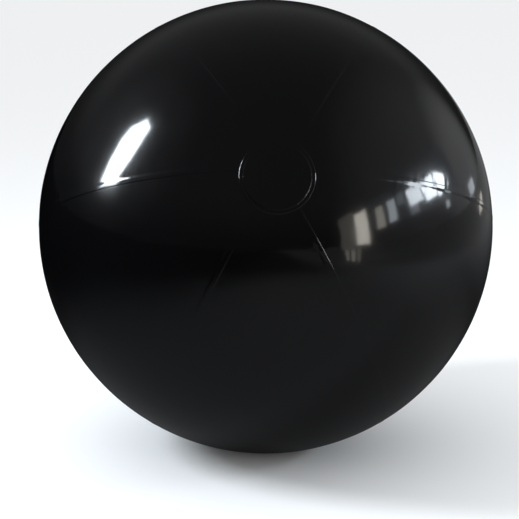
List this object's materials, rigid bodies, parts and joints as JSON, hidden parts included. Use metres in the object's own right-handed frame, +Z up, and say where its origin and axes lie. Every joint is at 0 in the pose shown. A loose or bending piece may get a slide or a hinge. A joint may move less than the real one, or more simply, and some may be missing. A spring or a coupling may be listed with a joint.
{
  "type": "inflatable beach ball",
  "caption": "Giant black gloss vinyl inflatable beach ball with welded film panels, round end discs and a push-in air valve with tethered plug.",
  "frame": {"origin": "centre of the inflated ball", "axes": "+Z up as the ball lies on the ground, -Y towards the end disc that faces the viewer, whose centre is raised 23 degrees above the horizon, +X to the viewer's right"},
  "size_m": [1, 1.0049, 0.9964],
  "materials": {
    "black_vinyl": "high gloss, slightly soft and wavy",
    "valve_vinyl": "milky translucent soft moulding, satin"
  },
  "bodies": {
    "ball": {"gore_panel_1": "black_vinyl", "gore_panel_2": "black_vinyl", "gore_panel_3": "black_vinyl", "gore_panel_4": "black_vinyl", "gore_panel_5": "black_vinyl", "gore_panel_6": "black_vinyl", "front_end_disc": "black_vinyl", "rear_end_disc": "black_vinyl", "valve_flange": "valve_vinyl", "valve_skirt": "valve_vinyl"},
    "valve": {"valve_stem": "valve_vinyl", "tether_ring": "valve_vinyl", "tether_strap": "valve_vinyl"},
    "plug": {"stopper_plug": "valve_vinyl"},
    "flap": {"check_flap": "valve_vinyl"}
  },
  "joints": [
    {"name": "valve_slide", "type": "slide", "parent": "ball", "child": "valve", "axis": [0.0022, -0.9636, -0.2672], "range_m": [0, 0.018], "deforming": ["valve_skirt"]},
    {"name": "plug_swing", "type": "hinge", "parent": "valve", "child": "plug", "pos_m": [0.00993, 0.50111, 0.13896], "axis": [-0.0006, 0.2672, -0.9636], "range_deg": [0, 150], "deforming": ["tether_strap"]},
    {"name": "flap_swing", "type": "hinge", "parent": "valve", "child": "flap", "pos_m": [0.00557, 0.48381, 0.13417], "axis": [0.0006, -0.2672, 0.9636], "range_deg": [0, 60], "stiffness_Nm_per_rad": 0.0005}
  ]
}
